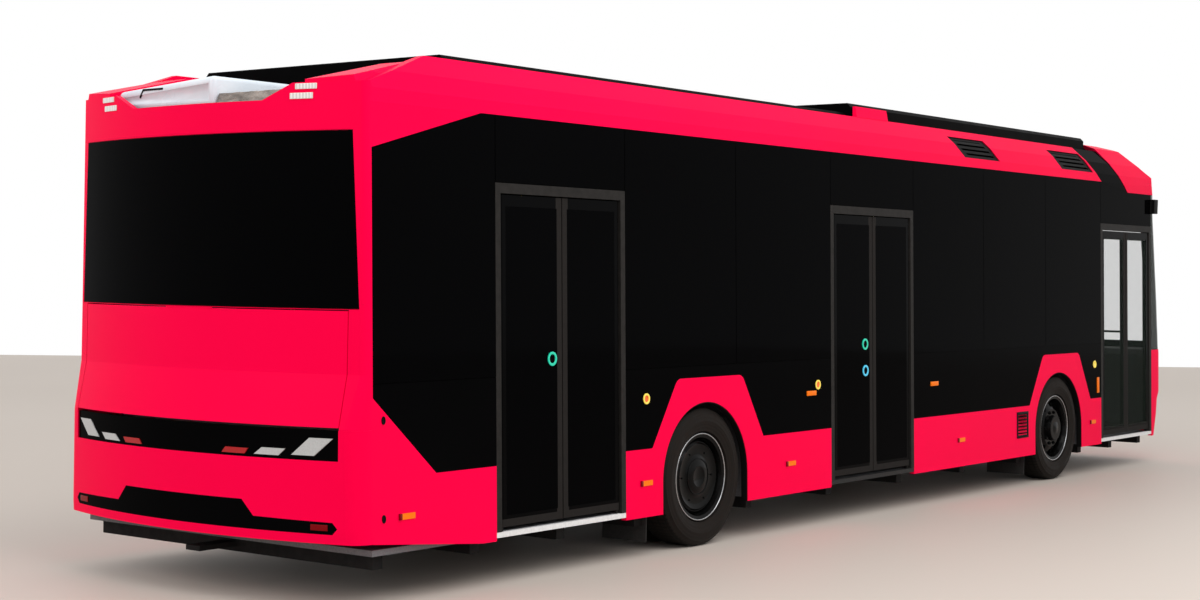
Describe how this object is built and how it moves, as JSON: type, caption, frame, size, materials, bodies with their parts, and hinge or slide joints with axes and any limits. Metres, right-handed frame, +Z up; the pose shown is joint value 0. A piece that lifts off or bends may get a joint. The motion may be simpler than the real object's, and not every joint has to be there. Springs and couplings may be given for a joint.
{
  "type": "city bus",
  "caption": "Low-floor battery-electric city bus with double doors on its right side, twin rear wheels, steered front wheels and a tail hatch.",
  "frame": {"origin": "on the ground under the middle of the bus, halfway along its length and width", "axes": "+X forward along the bus, +Y to the bus's left, +Z up"},
  "size_m": [12.1998, 2.5674, 3.245],
  "materials": {
    "body_red": "gloss crimson paint",
    "black_panel": "gloss black panel",
    "side_glass": "dark tinted glass",
    "rear_glass": "dark tinted glass",
    "front_glass": "tinted glass",
    "door_glass": "tinted glass",
    "grille_black": "matt black",
    "door_grey": "matt dark grey paint",
    "sill_bright": "brushed",
    "lamp_lens": "clear lens",
    "roof_grey": "satin grey paint",
    "housing_black": "gloss black cover",
    "cooler_pale": "satin pale grey",
    "floor_grey": "matt floor covering",
    "chassis_dark": "satin dark paint",
    "bellows_rubber": "black rubber",
    "flap_rubber": "black rubber",
    "seat_fabric": "dark woven cloth",
    "rail_paint": "yellow paint",
    "drive_metal": "cast",
    "cab_panel": "matt grey",
    "dash_plastic": "matt black",
    "marker_amber": "amber lens",
    "wheel_black": "gloss black paint",
    "tyre_rubber": "tyre rubber"
  },
  "bodies": {
    "body": {"skirt_right": "body_red", "skirt_left": "body_red", "wall_right": "black_panel", "wall_left": "black_panel", "glazing_right": "side_glass", "glazing_left": "side_glass", "air_grilles": "grille_black", "door_frames": "door_grey", "door_sills": "sill_bright", "rear_frame": "body_red", "rear_window": "rear_glass", "rear_bumper": "body_red", "rear_trim": "black_panel", "rear_lamps": "lamp_lens", "roof_coves": "body_red", "cove_bands": "black_panel", "nose_cap": "body_red", "roof_panel": "roof_grey", "roof_housings": "housing_black", "cooling_unit": "cooler_pale", "front_mask": "body_red", "headlamps": "lamp_lens", "front_frame": "black_panel", "windscreen": "front_glass", "mirror_pods": "black_panel", "floor_deck": "floor_grey", "chassis_frame": "chassis_dark", "rear_axle": "chassis_dark", "front_axle": "chassis_dark", "air_springs": "bellows_rubber", "mudflaps": "flap_rubber", "seats": "seat_fabric", "handrails": "rail_paint", "drive_block": "drive_metal", "driver_cab": "cab_panel", "dashboard": "dash_plastic", "side_markers": "marker_amber"},
    "hatch": {"rear_hatch": "body_red"},
    "steer_left": {"knuckle_left": "chassis_dark"},
    "front_wheel_left": {"wheel_front_left": "wheel_black", "tyre_front_left": "tyre_rubber"},
    "rear_wheels_left": {"wheels_rear_left": "wheel_black", "tyres_rear_left": "tyre_rubber"},
    "steer_right": {"knuckle_right": "chassis_dark"},
    "front_wheel_right": {"wheel_front_right": "wheel_black", "tyre_front_right": "tyre_rubber"},
    "rear_wheels_right": {"wheels_rear_right": "wheel_black", "tyres_rear_right": "tyre_rubber"},
    "door_rear_aft": {"door_rear_aft": "door_grey", "door_rear_aft_glass": "door_glass"},
    "door_rear_fore": {"door_rear_fore": "door_grey", "door_rear_fore_glass": "door_glass"},
    "door_middle_aft": {"door_middle_aft": "door_grey", "door_middle_aft_glass": "door_glass"},
    "door_middle_fore": {"door_middle_fore": "door_grey", "door_middle_fore_glass": "door_glass"},
    "door_front_aft": {"door_front_aft": "door_grey", "door_front_aft_glass": "door_glass"},
    "door_front_fore": {"door_front_fore": "door_grey", "door_front_fore_glass": "door_glass"}
  },
  "joints": [
    {"name": "hatch_hinge", "type": "hinge", "parent": "body", "child": "hatch", "pos_m": [-6.029, 0, 1.6565], "axis": [0, 1, 0], "range_deg": [0, 80]},
    {"name": "steering_left", "type": "hinge", "parent": "body", "child": "steer_left", "pos_m": [3.35, 0.905, 0.48], "axis": [0, 0, 1], "range_deg": [-40, 40]},
    {"name": "front_wheel_spin_left", "type": "hinge", "parent": "steer_left", "child": "front_wheel_left", "pos_m": [3.35, 1.11, 0.4785], "axis": [0, 1, 0], "continuous": true},
    {"name": "rear_wheel_spin_left", "type": "hinge", "parent": "body", "child": "rear_wheels_left", "pos_m": [-2.5, 0.954, 0.4785], "axis": [0, 1, 0], "continuous": true},
    {"name": "steering_right", "type": "hinge", "parent": "body", "child": "steer_right", "pos_m": [3.35, -0.905, 0.48], "axis": [0, 0, 1], "range_deg": [-40, 40]},
    {"name": "front_wheel_spin_right", "type": "hinge", "parent": "steer_right", "child": "front_wheel_right", "pos_m": [3.35, -1.11, 0.4785], "axis": [0, 1, 0], "continuous": true},
    {"name": "rear_wheel_spin_right", "type": "hinge", "parent": "body", "child": "rear_wheels_right", "pos_m": [-2.5, -0.954, 0.4785], "axis": [0, 1, 0], "continuous": true},
    {"name": "door_rear_aft_hinge", "type": "hinge", "parent": "body", "child": "door_rear_aft", "pos_m": [-4.661, -1.24555, 0.34545], "axis": [0, 0.0192, 0.9998], "range_deg": [0, 90]},
    {"name": "door_rear_fore_hinge", "type": "hinge", "parent": "body", "child": "door_rear_fore", "pos_m": [-3.509, -1.24555, 0.34545], "axis": [0, -0.0192, -0.9998], "range_deg": [0, 90]},
    {"name": "door_middle_aft_hinge", "type": "hinge", "parent": "body", "child": "door_middle_aft", "pos_m": [-0.736, -1.24555, 0.34545], "axis": [0, 0.0192, 0.9998], "range_deg": [0, 90]},
    {"name": "door_middle_fore_hinge", "type": "hinge", "parent": "body", "child": "door_middle_fore", "pos_m": [0.436, -1.24555, 0.34545], "axis": [0, -0.0192, -0.9998], "range_deg": [0, 90]},
    {"name": "door_front_aft_hinge", "type": "hinge", "parent": "body", "child": "door_front_aft", "pos_m": [4.414, -1.24555, 0.34545], "axis": [0, 0.0192, 0.9998], "range_deg": [0, 90]},
    {"name": "door_front_fore_hinge", "type": "hinge", "parent": "body", "child": "door_front_fore", "pos_m": [5.556, -1.24555, 0.34545], "axis": [0, -0.0192, -0.9998], "range_deg": [0, 90]}
  ],
  "couplings": [
    {"joint": "steering_right", "follows": "steering_left", "ratio": 1}
  ]
}
